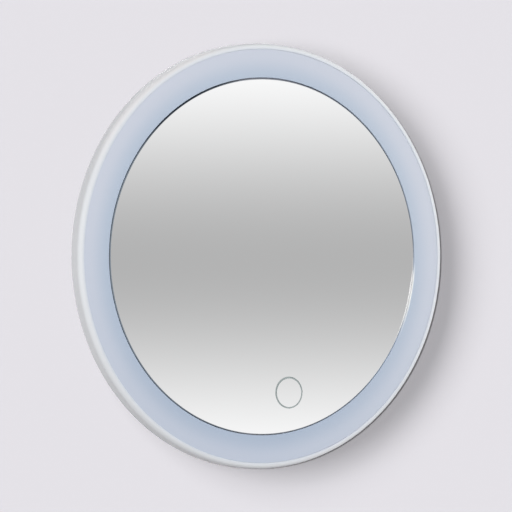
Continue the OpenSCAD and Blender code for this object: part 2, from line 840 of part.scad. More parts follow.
// Two wires from their socket, over the hub wall and through the notch, to the circuit ring
module led_leads() {
    y0 = socket_floor_y(1);
    y1 = sqrt(pow(led_mid_r - led_board_w / 2, 2) - pow(led_socket_x + 2 * lead_spread, 2));
    color("firebrick") hang() for (side = [-1, 1]) let (x = led_socket_x + side * lead_spread)
        lead([x, y0, socket_z], [0, 1, 0],
            concat([for (p = led_route) [x, p[0], p[1]]], [for (y = led_route_flat) [x, y, lead_z]]),
            [0, -1, 0], [x, y1, lead_z]);
}

// Wire from the sensor board, over the floor of the bay, to its socket
module touch_lead() {
    color("gray") hang()
        lead(concat(touch_place + touch_foot, touch_board_z), [0, 0, -1],
            concat([concat(touch_place + touch_bend, lead_z), concat(touch_route_flat, lead_z)],
                touch_route),
            [0, -1, 0], [touch_socket_x, socket_floor_y(-1), socket_z]);
}

front_frame();
diffuser_ring();
mirror_glass();
mirror_tape();
mirror_carrier();
carrier_screws();
led_board();
leds();
led_resistors();
rear_shell();
shell_screws();
wall_pads();
battery_door();
battery_cell(0);  // battery_cell_1
battery_cell(1);  // battery_cell_2
battery_cell(2);  // battery_cell_3
battery_cell(3);  // battery_cell_4
battery_springs();
contact_plates();
control_board();
control_chip();
power_coil();
capacitors();
wire_sockets();
board_screws();
touch_board();
touch_chip();
touch_tape();
battery_leads();
led_leads();
touch_lead();
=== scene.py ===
from functools import partialmethod
from math import cos, pi, radians, sin, sqrt, tan, tau

import bmesh
import bpy
from mathutils import Matrix, Vector


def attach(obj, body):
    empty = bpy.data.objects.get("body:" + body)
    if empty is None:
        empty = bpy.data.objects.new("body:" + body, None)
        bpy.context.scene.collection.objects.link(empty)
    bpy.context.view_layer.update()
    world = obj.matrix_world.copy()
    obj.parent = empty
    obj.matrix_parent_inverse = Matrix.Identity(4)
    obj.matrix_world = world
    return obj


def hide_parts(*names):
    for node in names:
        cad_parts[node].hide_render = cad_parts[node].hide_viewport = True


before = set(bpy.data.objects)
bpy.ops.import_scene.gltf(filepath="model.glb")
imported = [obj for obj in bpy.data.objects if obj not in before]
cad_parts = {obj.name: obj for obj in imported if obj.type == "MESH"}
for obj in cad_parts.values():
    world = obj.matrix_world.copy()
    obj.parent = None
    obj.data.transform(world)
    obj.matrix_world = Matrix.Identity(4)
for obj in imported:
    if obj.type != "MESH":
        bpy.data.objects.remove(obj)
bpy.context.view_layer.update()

scene = bpy.context.scene
scene.view_settings.view_transform = "Standard"

# Camera
# The camera stands level with the mirror, 31.4 degrees to its left, far off behind a long lens.
# The middle of the mirror's front lies a little right of the middle of the picture.
def linked(name, data):
    """A new object in the scene."""
    made = bpy.data.objects.new(name, data)
    scene.collection.objects.link(made)
    return made


camera_turn = radians(31.42)
camera_distance, field_width, shift = 12, 0.30105, 0.00346
front_middle = Vector((0, -0.026, 0))
look = Vector((sin(camera_turn), cos(camera_turn), 0))
sideways = Vector((look.y, -look.x, 0))
aim = front_middle - shift * sideways
camera_data = bpy.data.cameras.new("camera")
camera_data.lens = camera_data.sensor_width * camera_distance / field_width
camera = linked("camera", camera_data)
camera.location = aim - camera_distance * look
camera.rotation_euler = (pi / 2, 0, -camera_turn)
scene.camera = camera


# Room
# A pale wall and floor that show from their front alone, so that the mirror can be looked at from
# behind. A round screen that only reflections see stands in for the room that the glass mirrors:
# grey at eye level and paler above and below.
class Value:
    """A value in a tree of shader nodes: arithmetic on it adds Math nodes."""

    def __init__(self, nodes, socket):
        self.nodes, self.socket = nodes, socket

    def output(self, name):
        return Value(self.nodes, self.socket.node.outputs[name])

    def math(self, operation, *others):
        return self.nodes.node("ShaderNodeMath", {"operation": operation}, self, *others)

    def __rsub__(self, other):
        return self.nodes.node("ShaderNodeMath", {"operation": "SUBTRACT"}, other, self)

    __abs__ = partialmethod(math, "ABSOLUTE")
    __add__ = __radd__ = partialmethod(math, "ADD")
    __sub__ = partialmethod(math, "SUBTRACT")
    __mul__ = __rmul__ = partialmethod(math, "MULTIPLY")
    __truediv__ = partialmethod(math, "DIVIDE")
    __pow__ = partialmethod(math, "POWER")
    __gt__ = partialmethod(math, "GREATER_THAN")
    __lt__ = partialmethod(math, "LESS_THAN")


class Nodes:
    """A tree of shader nodes."""

    def __init__(self, owner):
        owner.use_nodes = True
        self.tree = owner.node_tree
        self.tree.nodes.clear()

    def node(self, kind, settings=None, *values, **named):
        """Adds a node: its settings first, then its inputs by place or by name."""
        made = self.tree.nodes.new(kind)
        for setting, value in (settings or {}).items():
            if setting == "stops":
                stops = made.color_ramp.elements
                while len(stops) < len(value):
                    stops.new(0)
                for stop, (place, colour) in zip(stops, value):
                    stop.position, stop.color = place, (*colour, 1)
            else:
                setattr(made, setting, value)
        inputs = [*enumerate(values), *((k.replace("_", " "), v) for k, v in named.items())]
        for key, value in inputs:
            if isinstance(value, Value):
                self.tree.links.new(value.socket, made.inputs[key])
            elif value is not None:
                made.inputs[key].default_value = value
        return Value(self, made.outputs[0]) if made.outputs else None

    def mix(self, factor, first, second):
        """Colour between two colours."""
        colours = [c if isinstance(c, Value) else (*c, 1) for c in (first, second)]
        mixed = self.node("ShaderNodeMix", {"data_type": "RGBA"}, factor, None, None, None, None,
            None, *colours)
        return Value(self, mixed.socket.node.outputs[2])

    def step(self, value, low, high, start=0.0, end=1.0):
        """Goes smoothly from start to end as value goes from low to high."""
        return self.node("ShaderNodeMapRange", {"interpolation_type": "SMOOTHSTEP"},
            value, low, high, start, end)

    def between(self, value, low, full, fade, high):
        """Goes from 0 at low to 1 at full, and from 1 at fade back to 0 at high."""
        return self.step(value, low, full) * self.step(value, fade, high, 1.0, 0.0)


backdrop, ambient, mirrored_far = (0.775, 0.760, 0.799), 0.24, 0.88
world = bpy.data.worlds.new("room")
scene.world = world
air = Nodes(world)
ray = air.node("ShaderNodeLightPath")
sky = air.mix(ray.output("Is Glossy Ray"), (ambient,) * 3, (mirrored_far,) * 3)
sky = air.mix(ray, sky, backdrop)
air.node("ShaderNodeOutputWorld", None, air.node("ShaderNodeBackground", None, sky, 1.0))


def stage_paint(name, colour, shine):
    """Paint that gives off some light of its own and shows from its front only."""
    material = bpy.data.materials.new(name)
    nodes = Nodes(material)
    shader = nodes.node("ShaderNodeAddShader", None,
        nodes.node("ShaderNodeBsdfDiffuse", None, (*colour, 1)),
        nodes.node("ShaderNodeEmission", None, (*shine, 1), 1.0))
    behind = nodes.node("ShaderNodeNewGeometry").output("Backfacing")
    clear = nodes.node("ShaderNodeBsdfTransparent", None, (1, 1, 1, 1))
    nodes.node("ShaderNodeOutputMaterial", None,
        nodes.node("ShaderNodeMixShader", None, behind, shader, clear))
    return material


def stage_object(name, corners, faces, material, *seen_by):
    """A stage object that only the rays named see."""
    mesh = bpy.data.meshes.new(name)
    mesh.from_pydata(corners, [], faces)
    mesh.materials.append(material)
    made = linked(name, mesh)
    for kind in ("camera", "diffuse", "glossy", "transmission", "shadow", "volume_scatter"):
        setattr(made, "visible_" + kind, kind in seen_by)
    return made


wall_y, floor_z, reach = 0.0004, -0.9, 6
square = ((-reach, -reach), (reach, -reach), (reach, reach), (-reach, reach))
wall_paint = stage_paint("wall_white", (0.01022, 0.01, 0.01052), (0.1283, 0.1256, 0.1322))
wall = stage_object("wall", [(across, wall_y, up) for across, up in square], [(0, 1, 2, 3)],
    wall_paint, "camera", "glossy")
floor_paint = stage_paint("floor_white", (0.8, 0.785, 0.825), (0.165, 0.157, 0.175))
stage_object("floor", [(across, out, floor_z) for across, out in square], [(0, 1, 2, 3)],
    floor_paint, "camera")

eye_z, pale_above = -0.003, 0.159
eye_grey, half_rise = 0.464, 0.307
dim_from, dim_to, dimmed = 0.2, 0.42, 0.3
screen_grey = bpy.data.materials.new("screen_grey")
paint = Nodes(screen_grey)
place = paint.node("ShaderNodeTexCoord").output("Object")
height = abs(paint.node("ShaderNodeSeparateXYZ", None, place).output("Z") - eye_z)
rise = (height * (pi / pale_above)).math("MINIMUM", pi)
grey = eye_grey + half_rise * (1 - rise.math("COSINE"))
grey = grey - paint.step(height, dim_from, dim_to, 0.0, dimmed)
paint.node("ShaderNodeOutputMaterial", None, paint.node("ShaderNodeEmission", None, grey, 1.0))
screen_r, screen_half, sides = 1.0, 0.85, 96
stage_object("screen", [(screen_r * cos(tau * i / sides),
    screen_r * sin(tau * i / sides), z) for z in (-screen_half, screen_half)
    for i in range(sides)], [(i, (i + 1) % sides, sides + (i + 1) % sides, sides + i)
    for i in range(sides)], screen_grey, "glossy")

# Three wide soft lamps light the mirror: one in front at each side, and one behind. Three more shine
# on the dark-painted wall alone, so that it shows the shadow and no light off the white rim. Each is
# given by its direction, its strength and its spread in degrees.
wall_only = bpy.data.collections.new("wall_only")
wall_only.objects.link(wall)
for name, towards, strength, spread in (
    ("left_lamp", (-1.3, -1.376, 0.13), 1.897, 34),
    ("right_lamp", (0.92, -0.39, 0.08), 1.6, 34),
    ("back_lamp", (0.35, 0.82, 0.42), 2.45, 30),
    ("wall_upper_lamp", (-1.264, -1, 0.690), 57.7, 21),
    ("wall_side_lamp", (-1.427, -1, 0.158), 143.5, 24),
    ("wall_front_lamp", (-0.662, -1, 0.025), 99, 1.2),
):
    lamp = linked(name, bpy.data.lights.new(name, "SUN"))
    lamp.data.energy, lamp.data.angle = strength, radians(spread)
    lamp.rotation_euler = Vector(towards).to_track_quat("Z", "Y").to_euler()
    lamp.visible_glossy = False
    if name.startswith("wall"):
        lamp.light_linking.receiver_collection = wall_only


# Rear shell
# Pan, round hub, battery bay, keyhole pockets, bosses and posts in one white ABS moulding. The mould
# left it a fine spark texture. It takes the piece from the model, with its edges rounded off.
class Finish(Nodes):
    """A material with one main shader; x, y and z are the place on the object, in metres."""

    def __init__(self, name, **constants):
        self.material = bpy.data.materials.new(name)
        super().__init__(self.material)
        self.shader = self.tree.nodes.new("ShaderNodeBsdfPrincipled")
        for key, value in constants.items():
            self.shader.inputs[key.replace("_", " ")].default_value = value
        self.node("ShaderNodeOutputMaterial", None, Value(self, self.shader.outputs[0]))
        self.place = self.node("ShaderNodeTexCoord").output("Object")
        self.x = self.node("ShaderNodeSeparateXYZ", None, self.place)
        self.y, self.z = self.x.output("Y"), self.x.output("Z")

    def noise(self, scale, detail=2.0, roughness=0.5):
        """Soft random pattern from 0 to 1, with scale features to the metre."""
        return self.node("ShaderNodeTexNoise", None, self.place, None, scale, detail, roughness)

    def give(self, socket, value):
        self.tree.links.new(value.socket, self.shader.inputs[socket])

    def turn(self):
        """Angle round the mirror's axis, in radians up from its right side."""
        return self.z.math("ARCTAN2", self.x)

    def bump(self, height, depth):
        """Relief of the surface, depth metres high."""
        self.give("Normal", self.node("ShaderNodeBump", None, Strength=1.0, Distance=depth,
            Height=height))

    def radius(self, x=0.0, z=0.0):
        """Distance from an axis that runs along y."""
        across, up = self.x - x, self.z - z
        return (across * across + up * up) ** 0.5


def mottled(name, first, second, scale, rough, grain, depth=0.00001, **constants):
    """Finish that wanders between two colours and two roughnesses, with a grain on it."""
    finish = Finish(name, **constants)
    finish.colour = finish.mix(finish.noise(scale, detail=3), first, second)
    finish.give("Base Color", finish.colour)
    finish.give("Roughness", rough[0] + (rough[1] - rough[0]) * finish.noise(scale * 7, detail=3))
    finish.bump(finish.noise(grain, detail=3), depth)
    return finish


# Shapes are drawn in mm, lying on their back: x across, y up the mirror, z out from the wall
at = Matrix.Translation
hang = Matrix.Scale(0.001, 4) @ Matrix.Rotation(pi / 2, 4, "X")


def meshed(shape, finish):
    """Makes a drawn shape a mesh with one finish."""
    mesh = bpy.data.meshes.new("shape")
    shape.to_mesh(mesh)
    shape.free()
    mesh.materials.append(finish.material)
    return mesh


def copied(node, finish, round_off):
    """Shape of a CAD node, merged, with its flat faces joined and its sharp edges rounded off."""
    same_spot, flat, sharp_from = 0.001, radians(1), radians(40)
    shape = bmesh.new()
    shape.from_mesh(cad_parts[node].data)
    shape.transform(hang.inverted())
    bmesh.ops.remove_doubles(shape, verts=shape.verts, dist=same_spot)
    bmesh.ops.dissolve_limit(shape, angle_limit=flat, verts=shape.verts, edges=shape.edges)
    for face in shape.faces:
        face.material_index = 0
    sharp = [e for e in shape.edges if e.calc_face_angle(0) > sharp_from]
    bmesh.ops.bevel(shape, geom=sharp, offset=round_off, segments=2, profile=0.5, affect="EDGES",
        clamp_overlap=False)
    return meshed(shape, finish)


def evaluated(holder):
    """Plain mesh of an object with its modifiers applied."""
    bpy.context.view_layer.update()
    return bpy.data.meshes.new_from_object(
        holder.evaluated_get(bpy.context.evaluated_depsgraph_get()))


def piece(name, node, slot, *parts, body="mirror", sharp=32):
    """Joins drawn shapes into one piece that takes the place of a CAD node and rides on a body. It
    keeps the finishes of its parts, and is smooth up to the sharp angle. The slot is not used."""
    whole, finishes = bmesh.new(), []
    for part in parts:
        shape = bmesh.new()
        shape.from_mesh(part)
        bmesh.ops.remove_doubles(shape, verts=shape.verts, dist=0.0005)
        bmesh.ops.recalc_face_normals(shape, faces=shape.faces)
        for face in shape.faces:
            finish = part.materials[face.material_index]
            if finish not in finishes:
                finishes.append(finish)
            face.material_index = finishes.index(finish)
        shape.to_mesh(part)
        shape.free()
        whole.from_mesh(part)
        bpy.data.meshes.remove(part)
    whole.transform(hang)
    mesh = bpy.data.meshes.new(name)
    whole.to_mesh(mesh)
    whole.free()
    mesh.shade_smooth()
    mesh.set_sharp_from_angle(angle=radians(sharp))
    for finish in finishes:
        mesh.materials.append(finish)
    made = linked(name, mesh)
    # The flat faces keep their own direction, and the rounded edges bend between them
    made.modifiers.new("flat faces", "WEIGHTED_NORMAL").keep_sharp = True
    made.data = evaluated(made)
    made.modifiers.clear()
    bpy.data.meshes.remove(mesh)
    made.data.name = name
    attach(made, body)
    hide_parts(node)


shell_white = mottled("shell_white", (0.80, 0.81, 0.825), (0.84, 0.848, 0.86), scale=24,
    rough=(0.42, 0.56), grain=1700, depth=0.00004)
piece("pan_and_hub", "rear_shell", "shell_plastic", copied("rear_shell", shell_white, round_off=0.25))


# Wall pads
# Four black rubber pads stuck in recesses of the hub, which keep the mirror off the wall. Round
# grooves are moulded in their faces, and their edges are rounded.
def rounded(corners, steps=4):
    """Outline through corners (x, y, radius), each rounded by its radius."""
    outline = []
    for i, (x, y, radius) in enumerate(corners):
        corner = Vector((x, y))
        if not radius:
            outline.append((x, y))
            continue
        before = (Vector(corners[i - 1][:2]) - corner).normalized()
        after = (Vector(corners[(i + 1) % len(corners)][:2]) - corner).normalized()
        half = before.angle(after) / 2
        centre = corner + (before + after).normalized() * radius / sin(half)
        first = corner + before * radius / tan(half) - centre
        last = corner + after * radius / tan(half) - centre
        turn = first.angle_signed(last)
        for k in range(steps + 1):
            spoke = first.copy()
            spoke.rotate(Matrix.Rotation(-turn * k / steps, 2))
            outline.append(tuple(centre + spoke))
    return outline


def turned(outline, finish, sides=48, place=Matrix()):
    """Shape turned about its z axis from a closed outline of (radius, height)."""
    shape, rows = bmesh.new(), []
    for radius, height in outline:
        spots = [i * tau / sides for i in range(sides if radius else 1)]
        row = [shape.verts.new(place @ Vector((radius * cos(a), radius * sin(a), height)))
            for a in spots]
        rows.append(row if radius else row * sides)
    for row, after in zip(rows, rows[1:] + rows[:1]):
        for i in range(sides):
            corners = list(dict.fromkeys((row[i], row[i - 1], after[i - 1], after[i])))
            if len(corners) > 2:
                shape.faces.new(corners)
    return meshed(shape, finish)


class Pattern(Nodes):
    """A tree of geometry nodes with named inputs, run on a mesh whose points are the places."""

    def __init__(self, name, **inputs):
        self.tree = bpy.data.node_groups.new(name, "GeometryNodeTree")
        face = self.tree.interface
        face.new_socket("Geometry", in_out="OUTPUT", socket_type="NodeSocketGeometry")
        inputs = {"places": "Geometry", **inputs, "finish": "Material"}
        self.inputs = {title: face.new_socket(title, in_out="INPUT",
            socket_type="NodeSocket" + kind).identifier for title, kind in inputs.items()}
        self.source = self.tree.nodes.new("NodeGroupInput")

    def __getitem__(self, title):
        return Value(self, self.source.outputs[title])

    def end(self, geometry):
        """Ends the tree in plain faces with the finish on them."""
        solid = self.node("GeometryNodeRealizeInstances", None, geometry)
        solid = self.node("GeometryNodeSetMaterial", None, solid, Material=self["finish"])
        self.node("NodeGroupOutput", None, solid)

    def tube(self, curve, thickness, corners):
        """Ends the tree in a round tube along a curve."""
        around = self.node("GeometryNodeCurvePrimitiveCircle", None, Resolution=corners,
            Radius=thickness * 0.5)
        self.end(self.node("GeometryNodeCurveToMesh", None, Curve=curve, Profile_Curve=around,
            Fill_Caps=True))

    def made(self, finish, places=((0, 0, 0),), **values):
        """Runs the tree and returns what it makes as a plain mesh."""
        points = bpy.data.meshes.new("places")
        points.from_pydata(places, [(i, i + 1) for i in range(len(places) - 1)], [])
        holder = linked("places", points)
        values["finish"] = finish
        step = holder.modifiers.new("pattern", "NODES")
        step.node_group = self.tree
        for title, value in values.items():
            step[self.inputs[title]] = value
        made = evaluated(holder)
        bpy.data.objects.remove(holder)
        return made

    def repeated(self, mesh, places=((0, 0, 0),), **values):
        """Runs the tree with a mesh that it repeats."""
        unit = linked("unit", mesh)
        made = self.made(mesh.materials[0], places, shape=unit, **values)
        bpy.data.objects.remove(unit)
        return made


at_places = Pattern("at_places", shape="Object", turn="Float")
shape = at_places.node("GeometryNodeObjectInfo", None, at_places["shape"], True).output("Geometry")
facing = at_places.node("ShaderNodeCombineXYZ", None, 0.0, 0.0, at_places["turn"])
at_places.end(at_places.node("GeometryNodeInstanceOnPoints", None, Points=at_places["places"],
    Instance=shape, Rotation=facing))

rubber = mottled("rubber", (0.028, 0.029, 0.031), (0.045, 0.046, 0.049), scale=160, rough=(0.72, 0.9),
    grain=2200, depth=0.00006)
pad_r, pad_t, pad_edge, pad_ring_r, pad_angles = 6, 1, 0.4, 68, (62, 118, 214, 326)
groove_deep, groove_mouth, groove_floor = 0.25, 0.35, 0.2
grooves = []
for ring_r in (4.6, 3.4, 2.2, 1.0):
    grooves += [(ring_r + groove_mouth, 0), (ring_r + groove_floor, groove_deep),
        (ring_r - groove_floor, groove_deep), (ring_r - groove_mouth, 0)]
pad = [(0, pad_t), (pad_r, pad_t), *rounded([(0, pad_t, 0), (pad_r, pad_t, 0),
    (pad_r, 0, pad_edge), (0, 0, 0)])[2:-1], *grooves, (0, 0)]
pad_places = [(pad_ring_r * cos(radians(a)), pad_ring_r * sin(radians(a)), 0) for a in pad_angles]
piece("rubber_pads", "wall_pads", "pad_rubber",
    at_places.repeated(turned(pad, rubber, sides=56), pad_places))


# Contact plates
# Five nickel-plated steel plates pressed into the ends of the bay: three join two cells each, and
# two end in tabs that stick out through the wall, where the wires are soldered.
def block(low, high, finish, round_off=0.0, steps=2):
    """Box between two corners, with its edges rounded off."""
    shape = bmesh.new()
    low, high = Vector(low), Vector(high)
    bmesh.ops.create_cube(shape, size=1, matrix=at((low + high) / 2)
        @ Matrix.Diagonal((*(high - low), 1)))
    if round_off:
        bmesh.ops.bevel(shape, geom=shape.edges[:], offset=round_off, segments=steps, profile=0.5,
            affect="EDGES")
    return meshed(shape, finish)


nickel = mottled("nickel", (0.60, 0.585, 0.55), (0.70, 0.685, 0.65), scale=90, rough=(0.22, 0.4),
    grain=900, Metallic=1.0)
tin = mottled("tin", (0.58, 0.59, 0.61), (0.68, 0.69, 0.71), scale=300, rough=(0.25, 0.5), grain=1500,
    depth=0.00003, Metallic=1.0)
bay_half, bay_top, plate_t, plate_low, plate_high = 28.55, -10, 0.4, 3.4, 15.4
tab_end, tab_half, tab_low, tab_high = 35.85, 1.5, 12, 12.4
cell_pitch, cell_rows = 14.7, 4
row_up = [bay_top - (row + 0.5) * cell_pitch for row in range(cell_rows)]
plates = []
plate_half = cell_pitch / 2 - 1
for side, first, last in ((-1, 0, 1), (-1, 2, 3), (1, 1, 2), (1, 0, 0), (1, 3, 3)):
    left, right = sorted((side * (bay_half - plate_t), side * bay_half))
    plates.append(block((left, row_up[last] - plate_half, plate_low),
        (right, row_up[first] + plate_half, plate_high), nickel, round_off=0.12))
lead_in = (tab_low + tab_high) / 2
solder, solder_size, solder_steps = tab_end - 0.35, (0.7, 1.1, 0.7, 1), 8
for row in (0, 3):
    plates.append(block((bay_half - plate_t, row_up[row] - tab_half, tab_low),
        (tab_end, row_up[row] + tab_half, tab_high), nickel, round_off=0.1))
    blob = at((solder, row_up[row], lead_in)) @ Matrix.Diagonal(solder_size)
    plates.append(turned([(sin(k * pi / solder_steps) if 0 < k < solder_steps else 0,
        cos(k * pi / solder_steps)) for k in range(solder_steps + 1)], tin, sides=20, place=blob))
piece("bay_contacts", "contact_plates", "contact_steel", *plates)

# Battery springs
# One spring of plated wire at the flat end of each cell. It stands on the contact plate, and every
# second spring stands on the other side of the bay.
winding = Pattern("winding", turns="Float", radius="Float", length="Float", wire="Float",
    corners="Int")
helix = winding.node("GeometryNodeCurveSpiral", None, 20, winding["turns"], winding["radius"],
    winding["radius"], winding["length"])
winding.tube(helix, winding["wire"], winding["corners"])

spring_l, spring_r, spring_wire, spring_turns = 5.8, 2.9, 0.7, 3.25
cell_out = 9.5
springs = []
for row, up in enumerate(row_up):
    way = 1 if row % 2 == 0 else -1
    spring = winding.made(nickel.material, turns=spring_turns, radius=spring_r,
        length=spring_l - spring_wire, wire=spring_wire, corners=10)
    spring.transform(at((-way * (bay_half - plate_t - spring_wire / 2), up, cell_out))
        @ Matrix.Rotation(way * pi / 2, 4, "Y"))
    springs.append(spring)
piece("cell_springs", "battery_springs", "contact_steel", *springs, sharp=60)

# Control board
# Green board on four posts in the hub, with a tinned ring round each screw hole and a few small
# parts of its own. Its tracks show faintly through the lacquer.
def lacquered(name):
    """Glass-fibre board under green lacquer."""
    return mottled(name, (0.012, 0.135, 0.060), (0.018, 0.170, 0.078), scale=120, rough=(0.25, 0.4),
        grain=700, Coat_Weight=0.4)


over_copper, copper_shows = (0.035, 0.26, 0.12), 0.6
board_green = lacquered("board_green")
track = board_green.node("ShaderNodeTexBrick", {"offset": 0.37, "offset_frequency": 3},
    board_green.place, (0, 0, 0, 1), (0, 0, 0, 1), (1, 1, 1, 1), Scale=110.0, Mortar_Size=0.035,
    Brick_Width=0.9, Row_Height=0.3)
board_green.give("Base Color", board_green.mix(board_green.node("ShaderNodeSeparateColor", None,
    track) * copper_shows, board_green.colour, over_copper))
ceramic = mottled("ceramic", (0.030, 0.030, 0.033), (0.055, 0.054, 0.056), scale=300,
    rough=(0.35, 0.5), grain=2000, depth=0.00002)


def board(low, high, corner, holes, finish):
    """Flat board between two heights, with rounded corners and round holes (x, y, radius)."""
    outline, sides = bmesh.new(), 24
    paths = [rounded([(low[0], low[1], corner), (high[0], low[1], corner), (high[0], high[1], corner),
        (low[0], high[1], corner)])]
    for x, y, r in holes:
        paths.append([(x + r * cos(i * tau / sides), y + r * sin(i * tau / sides))
            for i in range(sides)])
    edges = []
    for path in paths:
        spots = [outline.verts.new((x, y, low[2])) for x, y in path]
        edges += [outline.edges.new((spots[i - 1], spots[i])) for i in range(len(spots))]
    bmesh.ops.triangle_fill(outline, edges=edges, use_beauty=True)
    raised = bmesh.ops.extrude_face_region(outline, geom=outline.faces[:])["geom"]
    for spot in (v for v in raised if isinstance(v, bmesh.types.BMVert)):
        spot.co.z = high[2]
    return meshed(outline, finish)


board_half, board_bottom, board_upper, board_low, board_top = 26, 15, 45, 8, 9.2
board_corner, post_hole, land_in, land_out, land_t = 1.0, 1.3, 1.35, 2.3, 0.03
posts = [(x, y) for x in (-23, 23) for y in (18, 42)]
control = [board((-board_half, board_bottom, board_low), (board_half, board_upper, board_top),
    board_corner, [(x, y, post_hole) for x, y in posts], board_green)]
for x, y in posts:
    control.append(turned([(land_in, board_top), (land_out, board_top), (land_out, board_top + land_t),
        (land_in, board_top + land_t)], tin, sides=28, place=at((x, y, 0))))
small_parts = [(6, 22), (9, 22), (12, 22), (-4, 40), (-1, 40), (20, 27), (20, 30)]
part_half_l, part_half_w, part_h, cap_at, cap_half, cap_over = 0.5, 0.4, 0.45, 0.65, 0.2, 0.02
small = [block((-part_half_l, -part_half_w, 0), (part_half_l, part_half_w, part_h), ceramic,
    round_off=0.05, steps=1)]
small += [block((end * cap_at - cap_half, -part_half_w - cap_over, 0), (end * cap_at + cap_half,
    part_half_w + cap_over, part_h + cap_over), tin, round_off=0.06, steps=1) for end in (-1, 1)]
control += [at_places.repeated(part, [(x, y, board_top) for x, y in small_parts]) for part in small]
piece("hub_board", "control_board", "green_board", *control)

# Control chip
# Black epoxy package with a moulded dot at its first leg. Its eight gull-wing legs on each side are
# soldered to the board.
epoxy = mottled("epoxy", (0.016, 0.016, 0.018), (0.026, 0.026, 0.028), scale=400, rough=(0.5, 0.65),
    grain=2600, depth=0.00002)


def chip(size, place, dot, finish):
    """Moulded package that stands on a board, with a dot raised in one corner."""
    x, y, z = place
    left, near, top, stand, dot_h = x - size[0] / 2, y - size[1] / 2, z + size[2], 0.1, 0.015
    body = block((left, near, z + stand), (x + size[0] / 2, y + size[1] / 2, top), finish,
        round_off=0.12)
    return [body, turned([(0, top), (dot, top), (dot, top + dot_h), (0, top + dot_h)], finish,
        sides=20, place=at((left + 2.2 * dot, near + 2.2 * dot, 0)))]


chip_at, chip_size, leg_pitch, leg_count = (1, 33, board_top), (10, 6, 1.6), 1.2, 8
leg_half, leg_t, leg_in, leg_bend, leg_out, leg_high = 0.2, 0.2, -0.15, 0.2, 0.8, 0.75
leg = [block((-leg_half, leg_in, leg_high - leg_t), (leg_half, 0.35, leg_high), tin),
    block((-leg_half, leg_bend, 0), (leg_half, leg_bend + leg_t, leg_high), tin),
    block((-leg_half, leg_bend, 0), (leg_half, leg_out, leg_t), tin)]
legs = []
for side in (-1, 1):
    spots = [(chip_at[0] + (i - (leg_count - 1) / 2) * leg_pitch, chip_at[1]
        + side * chip_size[1] / 2, board_top) for i in range(leg_count)]
    legs += [at_places.repeated(part.copy(), spots, turn=0.0 if side > 0 else pi) for part in leg]
piece("board_chip", "control_chip", "chip_black",
    *chip(chip_size, chip_at, dot=0.45, finish=epoxy), *legs)

# Power coil
# Choke of the voltage converter: varnished copper wire wound in three layers on a drum of dark
# ferrite, which is soldered to the board.
ferrite = mottled("ferrite", (0.040, 0.038, 0.040), (0.070, 0.066, 0.066), scale=500,
    rough=(0.55, 0.75), grain=2400, depth=0.00004)
copper = mottled("copper", (0.56, 0.20, 0.085), (0.68, 0.28, 0.13), scale=250, rough=(0.2, 0.32),
    grain=1200, Metallic=1.0)
coil_place = at((14, 36, board_top))
drum_r, core_r, drum_h, flange = 3.7, 2.3, 4.6, 1
coil_outline = rounded([(0, 0, 0), (drum_r, 0, 0.2), (drum_r, flange, 0.15), (core_r, flange, 0.1),
    (core_r, drum_h - flange, 0.1), (drum_r, drum_h - flange, 0.15), (drum_r, drum_h, 0.2),
    (0, drum_h, 0)])
coil_parts = [turned(coil_outline, ferrite, place=coil_place)]
coil_wire, coil_turns, layer_l = 0.4, 5.5, 2.2
for layer_r in (2.5, 2.85, 3.2):
    layer = winding.made(copper.material, turns=coil_turns, radius=layer_r, length=layer_l,
        wire=coil_wire, corners=8)
    layer.transform(coil_place @ at((0, 0, flange + coil_wire / 2)))
    coil_parts.append(layer)
piece("choke", "power_coil", "coil_copper", *coil_parts, sharp=50)

# Capacitors
# Two electrolytic capacitors: aluminium cans crimped on a black base, with a vent cross on the top,
# and a black mark on its rim at the minus side.
can_metal = mottled("can_metal", (0.70, 0.71, 0.72), (0.78, 0.79, 0.80), scale=130, rough=(0.2, 0.34),
    grain=1500)
can_x, can_r, can_h, can_sunk, mark_in = -13, 3.1, 7.7, 7.6, 1.5
mark_out = (board_top + can_h - 0.02) / 1000
mark = (can_metal.x < (can_x - mark_in) / 1000) * (can_metal.y < -mark_out)
can_metal.give("Base Color", can_metal.mix(mark, can_metal.colour, (0.02, 0.02, 0.022)))
can_metal.give("Metallic", 1 - mark)
can_low, crimp_low, crimp_mid, crimp_high, crimp_r, lid_r = 0.9, 1.7, 2.0, 2.3, 2.85, 2.3
can = rounded([(0, can_low, 0), (can_r, can_low, 0.3), (can_r, crimp_low, 0), (crimp_r, crimp_mid, 0),
    (can_r, crimp_high, 0), (can_r, can_h, 0.5), (lid_r + 0.1, can_h, 0), (lid_r, can_sunk, 0),
    (0, can_sunk, 0)])
base_r, base_h, vent_half_l, vent_half_w, vent_h = 3.15, 1.0, 1.9, 0.1, 0.06
base = rounded([(0, 0, 0), (base_r, 0, 0.15), (base_r, base_h, 0.2), (0, base_h, 0)])
spots = [(can_x, 38, board_top), (can_x, 29, board_top)]
vent = [at_places.repeated(block((-vent_half_l, -vent_half_w, can_sunk - 0.02),
    (vent_half_l, vent_half_w, can_sunk + vent_h), can_metal, round_off=0.03, steps=1), spots,
    turn=turn) for turn in (0.0, pi / 2)]
piece("tall_capacitors", "capacitors", "capacitor_can", *(at_places.repeated(part, spots)
    for part in (turned(can, can_metal), turned(base, epoxy))), *vent)

# Wire sockets
# Three two-way sockets, moulded in ivory nylon and soldered to the board. The wires are pushed in
# at their mouths.
nylon = mottled("nylon", (0.72, 0.68, 0.56), (0.78, 0.745, 0.63), scale=150, rough=(0.4, 0.52),
    grain=1500, depth=0.00002)
piece("lead_sockets", "wire_sockets", "socket_plastic", copied("wire_sockets", nylon, round_off=0.12))


